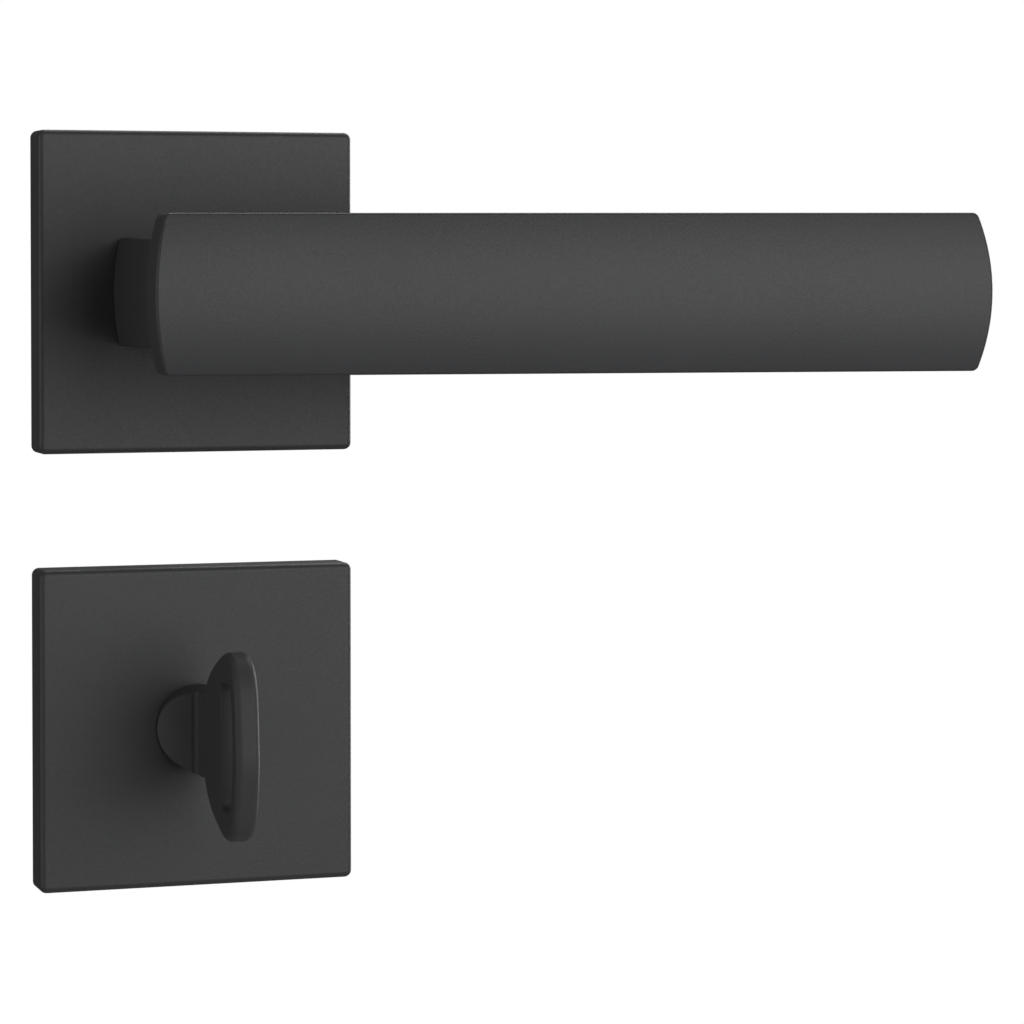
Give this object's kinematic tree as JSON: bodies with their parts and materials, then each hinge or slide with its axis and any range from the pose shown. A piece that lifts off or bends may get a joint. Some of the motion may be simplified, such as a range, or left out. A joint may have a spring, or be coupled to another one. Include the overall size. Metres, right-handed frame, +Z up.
{
  "type": "door lever handle",
  "caption": "Bar lever on a square rose with a ring thumb turn on a matching rose below, the inside half of a privacy door set.",
  "frame": {"origin": "on the door's face, on the lever's turning axis", "axes": "+Y into the door, +X along the lever to its tip, +Z up"},
  "size_m": [0.1502, 0.1122, 0.125],
  "materials": {
    "black_coat": "fine matt black powder coat over zinc",
    "black_satin": "smooth satin black coat over zinc",
    "plated_steel": "bright zinc plated",
    "spring_steel": "dark drawn spring wire and stamped spring steel",
    "cast_zinc": "as-cast grey zinc",
    "nylon": "natural nylon",
    "black_nylon": "black nylon"
  },
  "bodies": {
    "root": {"lever_rose_cover": "black_coat", "lever_guide_ring": "black_nylon", "lever_mounting_plate": "cast_zinc", "lever_bush": "nylon", "lever_return_spring": "spring_steel", "lever_fixing_bolts": "plated_steel", "lever_rose_screw": "spring_steel", "turn_rose_cover": "black_coat", "turn_mounting_plate": "cast_zinc", "turn_bush": "nylon", "turn_fixing_bolts": "plated_steel", "turn_rose_screw": "spring_steel"},
    "lever": {"lever": "black_coat", "lever_set_screw": "spring_steel", "lever_spindle": "plated_steel", "lever_driver_disc": "plated_steel", "lever_thrust_washer": "nylon", "lever_circlip": "spring_steel"},
    "thumb_turn": {"thumb_turn": "black_satin", "turn_spindle": "plated_steel", "turn_cross_pin": "spring_steel", "turn_wave_washer": "spring_steel", "turn_circlip": "spring_steel"}
  },
  "joints": [
    {"name": "lever_turn", "type": "hinge", "parent": "root", "child": "lever", "pos_m": [0, 0, 0], "axis": [0, 1, 0], "range_deg": [0, 50], "stiffness_Nm_per_rad": 0.9, "springref_deg": -25.78, "deforming": ["lever_return_spring"]},
    {"name": "thumb_turn", "type": "hinge", "parent": "root", "child": "thumb_turn", "pos_m": [0, 0, -0.072], "axis": [0, 1, 0], "range_deg": [0, 90]}
  ]
}
